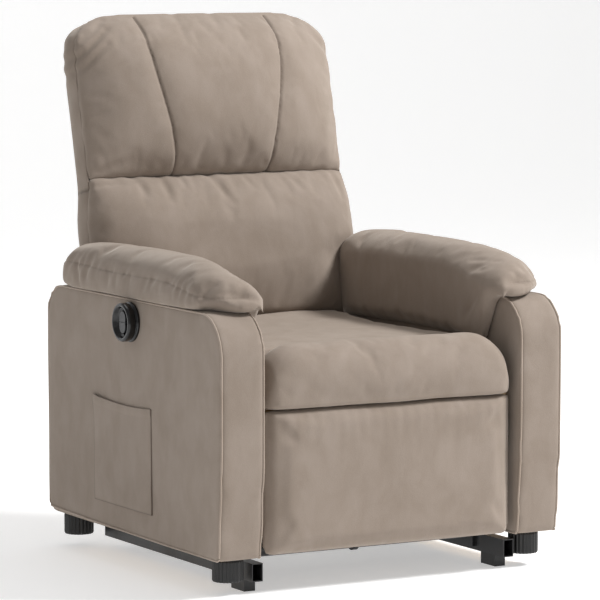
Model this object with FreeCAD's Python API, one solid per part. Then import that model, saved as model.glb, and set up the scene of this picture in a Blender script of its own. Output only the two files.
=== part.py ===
import FreeCAD, Part
import math
import os

# Lift recliner chair. Millimetres, X across the seat, Y from front to back, Z up.
# The origin is on the floor, under the middle of the chair.

# --- Driving dimensions ---------------------------------------------------------------------
SIDES = {"left": -1, "right": 1}

ARM_OUTER = 385.0          # outer face of an arm box, from the middle of the chair
ARM_INNER = 289.0
ARM_SKIN = 8.0             # board and padding on each face of an arm box
ARM_BOTTOM = 71.0
ARM_TOP = 545.0
ARM_FRONT = -454.0
ARM_FRONT_FOOT = -440.0    # the front face eases back towards the floor
ARM_REAR = 305.0
PAD_OUTER = 397.0
PAD_INNER = 258.0
PAD_TOP = 640.0

SEAT_TOP = 463.0
SEAT_BOTTOM = 362.0
SEAT_HALF = 284.0
SEAT_REAR = 160.0
ROLL_TOP = 488.0
ROLL_FRONT = -456.0
ROLL_REAR = -354.0
FRONT_HALF = 284.0         # half the width of the seat roll and of the footrest
FRONT_EASE = 24.0          # rounding of their upright front edges
SEAT_RAIL_BOTTOM = 335.0
SEAT_RAIL_TOP = 360.0

BACK_LEAN = 13.66          # degrees from upright
BACK_Y = 224.0             # the back's front plane passes through this point
BACK_Z = 509.0
BACK_BOTTOM = -44.0        # heights up the back's own plane, from that point
BACK_SEAM = 254.0
BACK_CROWN = 598.0
BACK_GUSSET = 50.0
BACK_DEPTH = 105.0

FOOT_X = 337.0
FOOT_Y = (-390.0, 259.0)
FOOT_R = 30.0
FOOT_BOTTOM = 25.6

RAIL_X = 286.0
RAIL_WIDTH = 24.0
RAIL_Z = (23.0, 59.0)
RAIL_Y = (-416.0, 217.0)
WALL = 2.0
CROSS_Z = (30.0, 54.0)
MID_TUBE_Y = (-152.0, -128.0)
REAR_TUBE_Y = (180.0, 204.0)
FLOOR_PAD_Y = (-385.0, -332.0)
REAR_GLIDE_HALF = 50.0     # half the width of the block under the rear tube

# Pivots, as (y, z)
LIFT_PIVOT = (-290.0, 62.0)
LIFT_ARM_PIVOT = (80.0, 100.0)
REAR_PIVOT = (-210.0, 74.0)
REAR_ARM_PIVOT = (240.0, 95.0)
ACTUATOR_PIVOT = (160.0, 75.0)
RECLINE_PIVOT = (210.0, 430.0)
LEG_PIVOT = (-365.0, 300.0)
LEG_LINK = 140.0
LEG_KNEE = (LEG_PIVOT[0], LEG_PIVOT[1] - LEG_LINK)
LEG_EAR = (LEG_PIVOT[0] + 46, LEG_PIVOT[1])
TORQUE_TUBE_R = 15.0
LEVER_RADIUS = 130.0
LEVER_REST = 66.0          # degrees; the lever swings evenly about upright
PIN_R = 6.0
RUNNING_R = PIN_R + 0.05
OPEN_R = 9.5               # the rear link's upper eye, where the linkage is open

# Layers of the mechanism, from the middle outwards, as (inner, outer)
BRACKET_LAYER = (227.0, 232.0)
LEG_FRONT_LAYER = (235.0, 240.0)
REAR_LUG_LAYER = (236.0, 242.0)
LEG_REAR_LAYER = (243.0, 248.0)
REAR_LINK_LAYER = (244.0, 249.0)
PLATE_LAYER = (252.0, 258.0)
LIFT_LINK_LAYER = (261.0, 266.0)
BACK_PLATE_LAYER = (261.0, 266.0)
LIFT_LUG_LAYER = (268.0, 274.0)
RECLINE_LAYER = (269.0, 274.0)


# --- Ways of making a piece -----------------------------------------------------------------
def save(node, *solids):
    """One STEP file for one sub-part, which may be a group of like pieces."""
    shape = solids[0] if len(solids) == 1 else Part.makeCompound(list(solids))
    shape.exportStep("parts/" + node + ".step")


def block(x, y, z):
    """A box between pairs of limits, given in any order."""
    low = [min(pair) for pair in (x, y, z)]
    size = [abs(pair[1] - pair[0]) for pair in (x, y, z)]
    return Part.makeBox(*size, FreeCAD.Vector(*low))


def rounded_wire(corners, place):
    """A closed outline of straight runs and tangent arcs. Each corner is (a, b, radius)."""
    arcs = []
    for i, (a, b, radius) in enumerate(corners):
        here = FreeCAD.Vector(a, b, 0)
        before = FreeCAD.Vector(corners[i - 1][0], corners[i - 1][1], 0) - here
        after_corner = corners[(i + 1) % len(corners)]
        after = FreeCAD.Vector(after_corner[0], after_corner[1], 0) - here
        before.normalize()
        after.normalize()
        half = before.getAngle(after) / 2
        middle = before + after
        if radius == 0 or middle.Length < 1e-6:
            arcs.append((here, None, here))
            continue
        middle.normalize()
        reach = radius / math.tan(half)
        top = here + middle * (radius / math.sin(half) - radius)
        arcs.append((here + before * reach, top, here + after * reach))
    edges = []
    for i, (start, top, end) in enumerate(arcs):
        if top is not None:
            edges.append(Part.Arc(place(start), place(top), place(end)).toShape())
        following = arcs[(i + 1) % len(arcs)][0]
        if (following - end).Length > 1e-6:
            edges.append(Part.LineSegment(place(end), place(following)).toShape())
    return Part.Wire(Part.__sortEdges__(edges))


def slab(corners, x):
    """An outline in Y and Z, made solid between two values of x."""
    wire = rounded_wire(corners, lambda p: FreeCAD.Vector(x[0], p.x, p.y))
    return Part.Face(wire).extrude(FreeCAD.Vector(x[1] - x[0], 0, 0))


def plan_slab(corners, z):
    """An outline in X and Y, made solid between two values of z."""
    wire = rounded_wire(corners, lambda p: FreeCAD.Vector(p.x, p.y, z[0]))
    return Part.Face(wire).extrude(FreeCAD.Vector(0, 0, z[1] - z[0]))


def front_slab(corners, y):
    """An outline in X and Z, made solid between two values of y."""
    wire = rounded_wire(corners, lambda p: FreeCAD.Vector(p.x, y[0], p.y))
    return Part.Face(wire).extrude(FreeCAD.Vector(0, y[1] - y[0], 0))


def pin(centre, x, radius=PIN_R):
    """A round bar along X."""
    low, high = min(x), max(x)
    return Part.makeCylinder(radius, high - low, FreeCAD.Vector(low, *centre), FreeCAD.Vector(1, 0, 0))


def span(side, layer):
    """The two x limits of a layer on one side of the chair."""
    return (side * layer[0], side * layer[1])


def flat_bar(start, end, x, width):
    """A flat bar with round ends, centred on two points."""
    run = FreeCAD.Vector(0, end[0] - start[0], end[1] - start[1])
    across = FreeCAD.Vector(0, -run.z, run.y)
    across.normalize()
    across = across * (width / 2)
    first = FreeCAD.Vector(x[0], *start)
    points = [first - across, first + across, first + run + across, first + run - across]
    bar = Part.Face(Part.makePolygon(points + points[:1])).extrude(FreeCAD.Vector(x[1] - x[0], 0, 0))
    return bar.fuse([pin(start, x, width / 2), pin(end, x, width / 2)]).removeSplitter()


def link(start, end, x, width, start_hole, end_hole):
    """A flat bar with an eye at each end."""
    return flat_bar(start, end, x, width).cut([pin(start, x, start_hole), pin(end, x, end_hole)])


def tube(x, y, z, along):
    """A square tube, open at both ends, along X or Y."""
    outer = block(x, y, z)
    if along == "X":
        return outer.cut(block(x, (y[0] + WALL, y[1] - WALL), (z[0] + WALL, z[1] - WALL)))
    return outer.cut(block((x[0] + WALL, x[1] - WALL), y, (z[0] + WALL, z[1] - WALL)))


def lean(shape):
    """Moves a piece drawn upright, on the plane y = 0, onto the leaning back."""
    shape.rotate(FreeCAD.Vector(0, 0, 0), FreeCAD.Vector(1, 0, 0), -BACK_LEAN)
    shape.translate(FreeCAD.Vector(0, BACK_Y, BACK_Z))
    return shape


# --- Base: two floor rails, two cross tubes and what is welded to them --------------------------
def base_rails():
    for name, side in SIDES.items():
        middle = side * RAIL_X
        x = (middle - RAIL_WIDTH / 2, middle + RAIL_WIDTH / 2)
        save("base_rail_" + name, tube(x, RAIL_Y, RAIL_Z, "Y"))
    reach = (RAIL_WIDTH / 2 - RAIL_X, RAIL_X - RAIL_WIDTH / 2)
    save("base_mid_tube", tube(reach, MID_TUBE_Y, CROSS_Z, "X"))
    save("base_rear_tube", tube(reach, REAR_TUBE_Y, CROSS_Z, "X"))


def base_floor_pads():
    """A block under the front of each rail, and one under the middle of the rear tube."""
    rear_y = (REAR_TUBE_Y[0] - 14, REAR_TUBE_Y[1] + 14)
    pads = [block((-REAR_GLIDE_HALF, REAR_GLIDE_HALF), rear_y, (0, CROSS_Z[0]))]
    for side in SIDES.values():
        middle = side * RAIL_X
        across = (middle - RAIL_WIDTH / 2, middle + RAIL_WIDTH / 2)
        pads.append(block(across, FLOOR_PAD_Y, (0, RAIL_Z[0])))
    save("base_floor_pads", *pads)


def base_lugs():
    y, z = LIFT_PIVOT
    lift_outline = [(y - 20, 30, 2), (y + 20, 30, 2), (y + 20, z + 16, 14), (y - 20, z + 16, 14)]
    y, z = REAR_PIVOT
    rear_outline = [
        (y - 16, z - 14, 8), (MID_TUBE_Y[0], 34, 0), (MID_TUBE_Y[0], CROSS_Z[1], 0),
        (MID_TUBE_Y[1], CROSS_Z[1], 0), (MID_TUBE_Y[1], 62, 3), (y + 12, z + 16, 8), (y - 16, z + 14, 12),
    ]
    lugs = []
    for side in SIDES.values():
        lift_x = span(side, LIFT_LUG_LAYER)
        rear_x = span(side, REAR_LUG_LAYER)
        lugs.append(slab(lift_outline, lift_x).cut(pin(LIFT_PIVOT, lift_x)))
        lugs.append(slab(rear_outline, rear_x).cut(pin(REAR_PIVOT, rear_x)))
    save("base_lugs", *lugs)


def base_pivot_pins():
    pins = [pin(ACTUATOR_PIVOT, (-16, 16))]
    for side in SIDES.values():
        pins.append(pin(LIFT_PIVOT, span(side, (LIFT_LINK_LAYER[0] - 2, LIFT_LUG_LAYER[1]))))
        pins.append(pin(REAR_PIVOT, span(side, (REAR_LUG_LAYER[0], REAR_LINK_LAYER[1] + 1))))
    save("base_pivot_pins", *pins)


def actuator_bracket():
    y, z = ACTUATOR_PIVOT
    front, rear = REAR_TUBE_Y
    outline = [
        (front, 32, 0), (front, CROSS_Z[1], 0), (rear, CROSS_Z[1], 0), (rear, 60, 3),
        (y + 12, z + 15, 8), (y - 14, z + 14, 10), (y - 14, z - 10, 8),
    ]
    cheeks = []
    for side in SIDES.values():
        x = span(side, (10.5, 15.0))
        cheeks.append(slab(outline, x).cut(pin(ACTUATOR_PIVOT, x)))
    save("actuator_bracket", *cheeks)


# --- Lift linkage and its actuator --------------------------------------------------------------
def lift_links():
    for name, side in SIDES.items():
        x = span(side, LIFT_LINK_LAYER)
        save("lift_link_" + name, link(LIFT_PIVOT, LIFT_ARM_PIVOT, x, 28, RUNNING_R, RUNNING_R))
        x = span(side, REAR_LINK_LAYER)
        save("rear_link_" + name, link(REAR_PIVOT, REAR_ARM_PIVOT, x, 26, RUNNING_R, OPEN_R))
    half = LIFT_LINK_LAYER[0]
    outer = pin(LIFT_PIVOT, (-half, half), TORQUE_TUBE_R)
    save("lift_torque_tube", outer.cut(pin(LIFT_PIVOT, (-half, half), TORQUE_TUBE_R - 3)))


def lift_lever():
    """Welded to the middle of the torque tube. The actuator's pin runs in its slot."""
    half = 5.0
    x = (-half, half)
    angle = math.radians(LEVER_REST)
    along = (math.cos(angle), math.sin(angle))

    def at(radius):
        return (LIFT_PIVOT[0] + radius * along[0], LIFT_PIVOT[1] + radius * along[1])

    lever = flat_bar(LIFT_PIVOT, at(LEVER_RADIUS - 4), x, 38)
    slot = flat_bar(at(LEVER_RADIUS - 10), at(LEVER_RADIUS), x, 16)
    save("lift_lever", lever.cut([slot, pin(LIFT_PIVOT, x, TORQUE_TUBE_R)]))


def lever_end():
    angle = math.radians(LEVER_REST)
    return (LIFT_PIVOT[0] + LEVER_RADIUS * math.cos(angle), LIFT_PIVOT[1] + LEVER_RADIUS * math.sin(angle))


def actuator():
    """Linear actuator, drawn along +Y with the motor on top, then laid on its line of action."""
    end = lever_end()
    run = (end[0] - ACTUATOR_PIVOT[0], end[1] - ACTUATOR_PIVOT[1])
    length = math.hypot(*run)
    turn = math.degrees(math.atan2(run[1], run[0]))
    tube_start, tube_end = 68.0, 325.0
    motor_rise = -52.0
    throat = 42.0              # how far the lever may swing into the clevis
    neck = throat + 14

    def lay(shape):
        shape.rotate(FreeCAD.Vector(0, 0, 0), FreeCAD.Vector(1, 0, 0), turn)
        shape.translate(FreeCAD.Vector(0, *ACTUATOR_PIVOT))
        return shape

    def round_bar(radius, start, stop, rise=0.0):
        return Part.makeCylinder(radius, stop - start, FreeCAD.Vector(0, start, rise), FreeCAD.Vector(0, 1, 0))

    eye = slab([(-14, -14, 13), (20, -14, 0), (20, 14, 0), (-14, 14, 13)], (-9, 9))
    case = slab([(20, -84, 10), (tube_start, -84, 10), (tube_start, 26, 10), (20, 26, 10)], (-29, 29))
    gearbox = eye.fuse(case).cut(pin((0, 0), (-9, 9), RUNNING_R)).removeSplitter()
    save("actuator_gearbox", lay(gearbox))
    motor = round_bar(27, tube_start, 186, motor_rise).fuse(round_bar(12, 186, 194, motor_rise))
    save("actuator_motor", lay(motor))
    sleeve = round_bar(20, tube_start, tube_end).cut(round_bar(10.05, tube_start, tube_end))
    save("actuator_tube", lay(sleeve))
    inlet = block((-8, 8), (6, 20), (-74, -58)).cut(round_bar(4.0, 6, 18, -66))
    save("power_inlet", lay(inlet))
    save("actuator_rod", lay(round_bar(10, 150, length - neck)))
    fork = block((-10, 10), (length - neck, length - throat), (-14, 14))
    for side in SIDES.values():
        back, front = length - throat, length + 14
        cheek = [(back, -14, 0), (front, -14, 12), (front, 14, 12), (back, 14, 0)]
        fork = fork.fuse(slab(cheek, span(side, (6.5, 10))))
    fork = fork.fuse(pin((length, 0), (-10, 10))).removeSplitter()
    save("actuator_clevis", lay(fork))


# --- Chassis: what rises with the sitter ----------------------------------------------------------
def side_plates():
    outline = [
        (-396, 274, 20), (-335, 260, 30), (40, 80, 40), (262, 70, 20), (270, 125, 40),
        (252, SEAT_RAIL_BOTTOM, 0), (-396, SEAT_RAIL_BOTTOM, 0),
    ]
    for name, side in SIDES.items():
        x = span(side, PLATE_LAYER)
        holes = [pin(centre, x) for centre in (LIFT_ARM_PIVOT, REAR_ARM_PIVOT, LEG_PIVOT)]
        save("side_plate_" + name, slab(outline, x).cut(holes))


def chassis_pivot_pins():
    pins = []
    for side in SIDES.values():
        pins.append(pin(LIFT_ARM_PIVOT, span(side, (PLATE_LAYER[0], LIFT_LINK_LAYER[1] + 1))))
        pins.append(pin(REAR_ARM_PIVOT, span(side, (REAR_LINK_LAYER[0] - 1, PLATE_LAYER[1]))))
        pins.append(pin(LEG_PIVOT, span(side, (LEG_REAR_LAYER[0] - 1, PLATE_LAYER[1]))))
        pins.append(pin(RECLINE_PIVOT, span(side, (BACK_PLATE_LAYER[0] - 1, RECLINE_LAYER[1]))))
    save("chassis_pivot_pins", *pins)


SEAT_FRONT_RAIL = (-400.0, -372.0)
SEAT_BACK_RAIL = (130.0, 158.0)


def seat_frame():
    z = (SEAT_RAIL_BOTTOM, SEAT_RAIL_TOP)
    front, back = SEAT_FRONT_RAIL, SEAT_BACK_RAIL
    rails = [block((-ARM_INNER, ARM_INNER), front, z), block((-250, 250), back, z)]
    for side in SIDES.values():
        rails.append(block(span(side, (250, 286)), (front[1], 232), z))
    save("seat_frame", *rails)
    save("rear_cross_rail", block((-ARM_INNER, ARM_INNER), (262, 290), (300, SEAT_RAIL_BOTTOM)))


def seat_springs():
    """Sinuous wire springs, hooked between the front and back rails of the seat frame."""
    wire_r, bend_r, height = 2.0, 14.0, 350.0
    first, last = SEAT_FRONT_RAIL[1], SEAT_BACK_RAIL[0]
    bends = int((last - first) / (2 * bend_r))
    pitch = (last - first) / bends
    reach = 22.0
    springs = []
    for middle in (-180, -60, 60, 180):
        edges = []
        y = first
        point = FreeCAD.Vector(middle, y, height)
        for i in range(bends):
            side = 1 if i % 2 else -1
            corner = FreeCAD.Vector(middle + side * reach, y, height)
            over = FreeCAD.Vector(middle + side * (reach + pitch / 2), y + pitch / 2, height)
            turned = FreeCAD.Vector(middle + side * reach, y + pitch, height)
            edges.append(Part.LineSegment(point, corner).toShape())
            edges.append(Part.Arc(corner, over, turned).toShape())
            point = turned
            y += pitch
        edges.append(Part.LineSegment(point, FreeCAD.Vector(middle, y, height)).toShape())
        path = Part.Wire(edges)
        start = FreeCAD.Vector(middle, first, height)
        ring = Part.Wire(Part.makeCircle(wire_r, start, FreeCAD.Vector(1, 0, 0)))
        springs.append(path.makePipeShell([ring], True, True))
    trim = block((-260, 260), (first + wire_r, last - wire_r), (height - 10, height + 10))
    save("seat_springs", *[spring.common(trim) for spring in springs])


def front_plan(front, rear):
    """The seat roll and the footrest from above: their upright front edges are eased."""
    return [
        (-FRONT_HALF, rear + 5, 0), (FRONT_HALF, rear + 5, 0),
        (FRONT_HALF, front, FRONT_EASE), (-FRONT_HALF, front, FRONT_EASE),
    ]


def seat_cushions():
    cushion = [
        (ROLL_REAR + 4, SEAT_BOTTOM, 6), (SEAT_REAR, SEAT_BOTTOM, 10),
        (SEAT_REAR, SEAT_TOP, 25), (ROLL_REAR + 4, SEAT_TOP, 6),
    ]
    save("seat_cushion", slab(cushion, (-SEAT_HALF, SEAT_HALF)))
    side_view = [
        (ROLL_FRONT, SEAT_BOTTOM, 14), (ROLL_REAR, SEAT_BOTTOM, 4),
        (ROLL_REAR, ROLL_TOP - 8, 30), (ROLL_REAR - 44, ROLL_TOP, 30), (ROLL_FRONT, ROLL_TOP, 50),
    ]
    front_view = [
        (-FRONT_HALF, SEAT_BOTTOM, 6), (FRONT_HALF, SEAT_BOTTOM, 6),
        (FRONT_HALF, ROLL_TOP, 90), (-FRONT_HALF, ROLL_TOP, 90),
    ]
    roll = slab(side_view, (-FRONT_HALF, FRONT_HALF)).common(front_slab(front_view, (ROLL_FRONT, ROLL_REAR)))
    plan = plan_slab(front_plan(ROLL_FRONT, ROLL_REAR), (SEAT_BOTTOM - 5, ROLL_TOP + 5))
    save("seat_front_roll", roll.common(plan))


def recline_brackets():
    y, z = RECLINE_PIVOT
    outline = [(y - 50, SEAT_RAIL_TOP, 0), (y + 18, SEAT_RAIL_TOP, 0), (y + 14, z + 14, 13), (y - 14, z + 14, 13)]
    plates = []
    for side in SIDES.values():
        x = span(side, RECLINE_LAYER)
        plates.append(slab(outline, x).cut(pin(RECLINE_PIVOT, x)))
    save("recline_brackets", *plates)


# --- Arms ------------------------------------------------------------------------------------------
def arm_outline(inset=0.0):
    """An arm box from the side. Its front upper corner is the large one."""
    return [
        (ARM_FRONT_FOOT + inset, ARM_BOTTOM + inset, 12 - inset), (ARM_FRONT + inset, 270, 300),
        (ARM_FRONT + inset, ARM_TOP - inset, 82 - inset), (ARM_REAR - inset, ARM_TOP - inset, 68 - inset),
        (ARM_REAR - inset, ARM_BOTTOM + inset, 35 - inset),
    ]


def arms():
    inner, outer = ARM_INNER + ARM_SKIN, ARM_OUTER - ARM_SKIN
    floor = ARM_BOTTOM + ARM_SKIN
    for name, side in SIDES.items():
        save("arm_outer_panel_" + name, slab(arm_outline(), span(side, (outer, ARM_OUTER))))
        save("arm_inner_panel_" + name, slab(arm_outline(), span(side, (ARM_INNER, inner))))
        x = span(side, (inner, outer))
        band = slab(arm_outline(), x).cut(slab(arm_outline(ARM_SKIN), x))
        band = band.cut(block(x, (ARM_FRONT_FOOT + ARM_SKIN, ARM_REAR - 35), (ARM_BOTTOM, floor)))
        save("arm_front_band_" + name, band)
        x = span(side, (inner + 6, outer - 6))
        frame = [
            block(x, (ARM_FRONT_FOOT + 14, ARM_REAR - 38), (ARM_BOTTOM, floor + 32)),
            block(x, (ARM_FRONT_FOOT + 14, ARM_FRONT_FOOT + 54), (floor + 32, ARM_TOP - 48)),
            block(x, (195, 235), (floor + 32, ARM_TOP - 48)),
            block(x, (-372, 235), (ARM_TOP - 48, ARM_TOP - 10)),
        ]
        save("arm_frame_" + name, *frame)


def arm_pads():
    seat_edge = ARM_TOP + 2
    side_view = [
        (-424, seat_edge, 6), (-402, seat_edge, 0), (-366, 522, 20), (-357, 472, 8), (185, 472, 8),
        (208, 600, 0), (210, PAD_TOP - 2, 35), (-95, PAD_TOP, 900), (-330, 625, 200), (-424, 600, 26),
    ]
    for name, side in SIDES.items():
        front_view = [
            (side * 386, seat_edge, 6), (side * PAD_OUTER, 562, 12), (side * PAD_OUTER, 612, 26),
            (side * 360, PAD_TOP, 40), (side * 310, PAD_TOP, 40), (side * PAD_INNER, 612, 30),
            (side * PAD_INNER, 472, 8), (side * 286, 472, 6), (side * 286, seat_edge, 0),
        ]
        x = span(side, (PAD_INNER, PAD_OUTER))
        save("arm_pad_" + name, slab(side_view, x).common(front_slab(front_view, (-424, 210))))


def feet():
    for end, y in zip(("front", "rear"), FOOT_Y):
        for name, side in SIDES.items():
            base = FreeCAD.Vector(side * FOOT_X, y, FOOT_BOTTOM)
            foot = Part.makeCylinder(FOOT_R, ARM_BOTTOM - FOOT_BOTTOM, base)
            lower_rim = [edge for edge in foot.Edges if abs(edge.BoundBox.ZMax - FOOT_BOTTOM) < 0.01]
            save("foot_" + end + "_" + name, foot.makeChamfer(3, lower_rim))


def storage_pocket():
    """A flat pouch on the left arm, closed by the arm's face behind it and open at the top."""
    cloth, face = 2.5, -ARM_OUTER - 10
    y, z = (-170, 82), (125, 338)
    pouch = block((face, -ARM_OUTER), y, z)
    inside = block((face + cloth, -ARM_OUTER), (y[0] + 4, y[1] - 4), (z[0] + 4, z[1]))
    save("storage_pocket", pouch.cut(inside))


PUCK = (-80.0, 500.0)
BUTTON_GAP = 0.4


def control():
    """Round hand control on the left arm: two keys in an upright oval, inside a dished ring."""
    face = -ARM_OUTER
    rim = face - 25

    def disc(radius, x):
        return pin(PUCK, x, radius)

    def oval(half_width, half_height, x):
        y, z = PUCK
        return slab([
            (y - half_width, z - half_height, half_width - 0.01), (y + half_width, z - half_height, half_width - 0.01),
            (y + half_width, z + half_height, half_width - 0.01), (y - half_width, z + half_height, half_width - 0.01),
        ], x)

    housing = disc(40, (face - 7, face)).fuse([disc(36.5, (face - 10, face)), disc(38.5, (rim, face - 10))])
    housing = housing.cut(disc(30, (rim, rim + 8)))
    housing = housing.cut(oval(13, 22, (rim + 8, rim + 14)))
    save("control_housing", housing.removeSplitter())
    keys = oval(13 - BUTTON_GAP, 22 - BUTTON_GAP, (rim + 5, rim + 11.5))
    for name, side in (("up", 1), ("down", -1)):
        half = block((rim, face), (PUCK[0] - 20, PUCK[0] + 20), (PUCK[1] + side * BUTTON_GAP, PUCK[1] + side * 30))
        save("control_button_" + name, keys.common(half))


# --- Back ------------------------------------------------------------------------------------------
LOWER_EDGE = [(276, BACK_BOTTOM), (276, 92), (312, 112), (312, 160), (303, BACK_SEAM)]
UPPER_EDGE = [(303, BACK_SEAM), (301, 490), (284, 560), (222, BACK_CROWN)]


def outline_wire(half, y):
    """A polygon on an upright plane, from the points of its right half."""
    points = [FreeCAD.Vector(x, y, z) for x, z in half]
    points += [FreeCAD.Vector(-x, y, z) for x, z in reversed(half)]
    return Part.makePolygon(points + points[:1])


def taper(back_half, y_back, front_half, y_front):
    """A solid whose outline changes evenly from one plane to another."""
    wires = [outline_wire(back_half, y_back), outline_wire(front_half, y_front)]
    return Part.makeLoft(wires, True, True)


def back_cushions():
    lower = LOWER_EDGE[:4] + [(303, BACK_SEAM - 2)]
    front = [(232, -30), (232, 92), (250, 112), (250, 160), (244, 238)]
    save("back_cushion_lower", lean(taper(lower, 0, front, -52)))
    upper = [(303, BACK_SEAM + 2)] + UPPER_EDGE[1:]
    save("back_cushion_upper", lean(taper(upper, 0, [(246, 300), (236, 480), (216, 520), (180, 540)], -76)))


def shrink(half, sideways, down):
    """An outline's half, moved in at the sides and down at the top. Its lower end stays."""
    return [(x - sideways, z - (down if z > 550 else 0)) for x, z in half]


def back_shell():
    edge = LOWER_EDGE + UPPER_EDGE[1:]
    skin = 8.0
    band = taper(edge, 0, edge, BACK_GUSSET)
    hollow = shrink(edge, skin, skin)
    hollow[0] = (hollow[0][0], BACK_BOTTOM - 10)
    save("back_gusset", lean(band.cut(taper(hollow, 0, hollow, BACK_GUSSET))))
    rear = shrink(edge, 30, 30)
    tray = taper(edge, BACK_GUSSET, rear, BACK_DEPTH)
    hollow = shrink(edge, skin, skin)
    hollow[0] = (hollow[0][0], BACK_BOTTOM + skin)
    hollow_rear = shrink(rear, skin, skin)
    hollow_rear[0] = (hollow_rear[0][0], BACK_BOTTOM + skin)
    save("back_rear_panel", lean(tray.cut(taper(hollow, BACK_GUSSET, hollow_rear, BACK_DEPTH - skin))))


def back_frame():
    depth = (12, 42)
    post = (236, 261)
    frame = [block(span(side, post), depth, (-40, 520)) for side in SIDES.values()]
    for low in (-14, 236, 495):
        frame.append(block((-post[0], post[0]), depth, (low, low + 25)))
    save("back_frame", *[lean(piece) for piece in frame])
    straps = []
    for height in (40, 110, 180, 290, 360, 430):
        straps.append(lean(block((-post[1], post[1]), (depth[0] - 2, depth[0]), (height, height + 45))))
    save("back_webbing", *straps)


def back_brackets():
    lean_angle = math.radians(BACK_LEAN)
    dy, dz = RECLINE_PIVOT[0] - BACK_Y, RECLINE_PIVOT[1] - BACK_Z
    y = dy * math.cos(lean_angle) - dz * math.sin(lean_angle)
    z = dy * math.sin(lean_angle) + dz * math.cos(lean_angle)
    outline = [
        (y - 16, z - 16, 15), (y + 16, z - 16, 12), (38, -40, 10), (38, 130, 8),
        (14, 130, 8), (12, -46, 6), (y - 16, z + 12, 8),
    ]
    plates = []
    for side in SIDES.values():
        x = span(side, BACK_PLATE_LAYER)
        plates.append(lean(slab(outline, x).cut(pin((y, z), x, RUNNING_R))))
    save("back_brackets", *plates)


# --- Footrest and its scissor links ----------------------------------------------------------------
def leg_links():
    rear, front = [], []
    for side in SIDES.values():
        x = span(side, LEG_REAR_LAYER)
        bell_crank = flat_bar(LEG_PIVOT, LEG_KNEE, x, 26).fuse(flat_bar(LEG_PIVOT, LEG_EAR, x, 26))
        holes = [pin(LEG_PIVOT, x, RUNNING_R), pin(LEG_KNEE, x)]
        rear.append(bell_crank.removeSplitter().cut(holes))
        rear.append(pin(LEG_KNEE, span(side, (LEG_FRONT_LAYER[0] - 1, LEG_REAR_LAYER[1]))))
        x = span(side, LEG_FRONT_LAYER)
        front.append(link(LEG_KNEE, LEG_PIVOT, x, 26, RUNNING_R, PIN_R))
        front.append(pin(LEG_PIVOT, span(side, (BRACKET_LAYER[0] - 1, LEG_FRONT_LAYER[1]))))
    save("leg_rear_links", *rear)
    save("leg_front_links", *front)


def legrest_cross_tube():
    """Joins the ears of the two rear links, so that both sides move together."""
    half = LEG_REAR_LAYER[0]
    bar = pin(LEG_EAR, (-half, half), 9)
    save("legrest_cross_tube", bar.cut(pin(LEG_EAR, (-half, half), 7)))


def footrest():
    half = FRONT_HALF
    board_rear, board_front = -416.0, -428.0
    low, high, face = 74, 354, -456
    cushion = slab([(board_front, low, 4), (face + 3, low, 14), (face, high, 16), (board_front, high, 4)], (-half, half))
    plan = plan_slab(front_plan(face, board_front), (low - 5, high + 5))
    save("footrest_cushion", cushion.common(plan))
    save("footrest_board", block((13 - half, half - 13), (board_front, board_rear), (92, 340)))
    y, z = LEG_PIVOT
    outline = [
        (board_rear, z + 28, 0), (board_rear, z - 80, 0), (board_rear + 16, z - 80, 4),
        (y + 14, z - 14, 14), (y + 14, z + 14, 14), (y - 20, z + 14, 20), (board_rear + 14, z + 28, 6),
    ]
    brackets = []
    for side in SIDES.values():
        x = span(side, BRACKET_LAYER)
        brackets.append(slab(outline, x).cut(pin(LEG_PIVOT, x, RUNNING_R)))
    save("footrest_brackets", *brackets)


os.makedirs("parts", exist_ok=True)
for make in (
    base_rails, base_floor_pads, base_lugs, base_pivot_pins, actuator_bracket,
    lift_links, lift_lever, actuator,
    side_plates, chassis_pivot_pins, seat_frame, seat_springs, seat_cushions, recline_brackets,
    arms, arm_pads, feet, storage_pocket, control,
    back_cushions, back_shell, back_frame, back_brackets,
    leg_links, legrest_cross_tube, footrest,
):
    make()
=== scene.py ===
import math

import bmesh
import bpy
from mathutils import Matrix, Vector, noise
from mathutils.bvhtree import BVHTree


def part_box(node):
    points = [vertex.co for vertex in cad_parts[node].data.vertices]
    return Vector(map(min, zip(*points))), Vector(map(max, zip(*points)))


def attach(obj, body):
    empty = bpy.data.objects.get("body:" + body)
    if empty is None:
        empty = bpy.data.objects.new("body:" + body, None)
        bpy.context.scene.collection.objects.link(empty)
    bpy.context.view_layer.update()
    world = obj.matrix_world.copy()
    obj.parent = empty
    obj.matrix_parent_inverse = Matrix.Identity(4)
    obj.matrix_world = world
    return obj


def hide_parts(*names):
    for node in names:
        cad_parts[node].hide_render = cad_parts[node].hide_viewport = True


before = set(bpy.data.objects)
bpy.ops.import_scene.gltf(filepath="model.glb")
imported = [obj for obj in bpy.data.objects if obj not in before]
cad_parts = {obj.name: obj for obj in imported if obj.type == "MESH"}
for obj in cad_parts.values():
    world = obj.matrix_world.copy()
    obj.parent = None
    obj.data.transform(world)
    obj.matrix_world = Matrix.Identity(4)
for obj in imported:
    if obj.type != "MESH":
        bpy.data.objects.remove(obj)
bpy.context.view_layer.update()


# --- Studio ---------------------------------------------------------------------------------
# A plain pale floor that curves up into a wall, a large soft key light from the right, a weak one
# from the left and one overhead, and a long lens at the height of the seat.
FLOOR_HALF = 9
WALL_HEIGHT = 7
SWEEP_RADIUS = 2.5
NEARLY_FAR = FLOOR_HALF - 0.1
floor_bm = bmesh.new()
bmesh.ops.create_grid(floor_bm, x_segments=2, y_segments=2, size=FLOOR_HALF)
far_edges = [e for e in floor_bm.edges if all(v.co.y > NEARLY_FAR for v in e.verts)]
wall = bmesh.ops.extrude_edge_only(floor_bm, edges=far_edges)
wall_top = [g for g in wall["geom"] if isinstance(g, bmesh.types.BMVert)]
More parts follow.
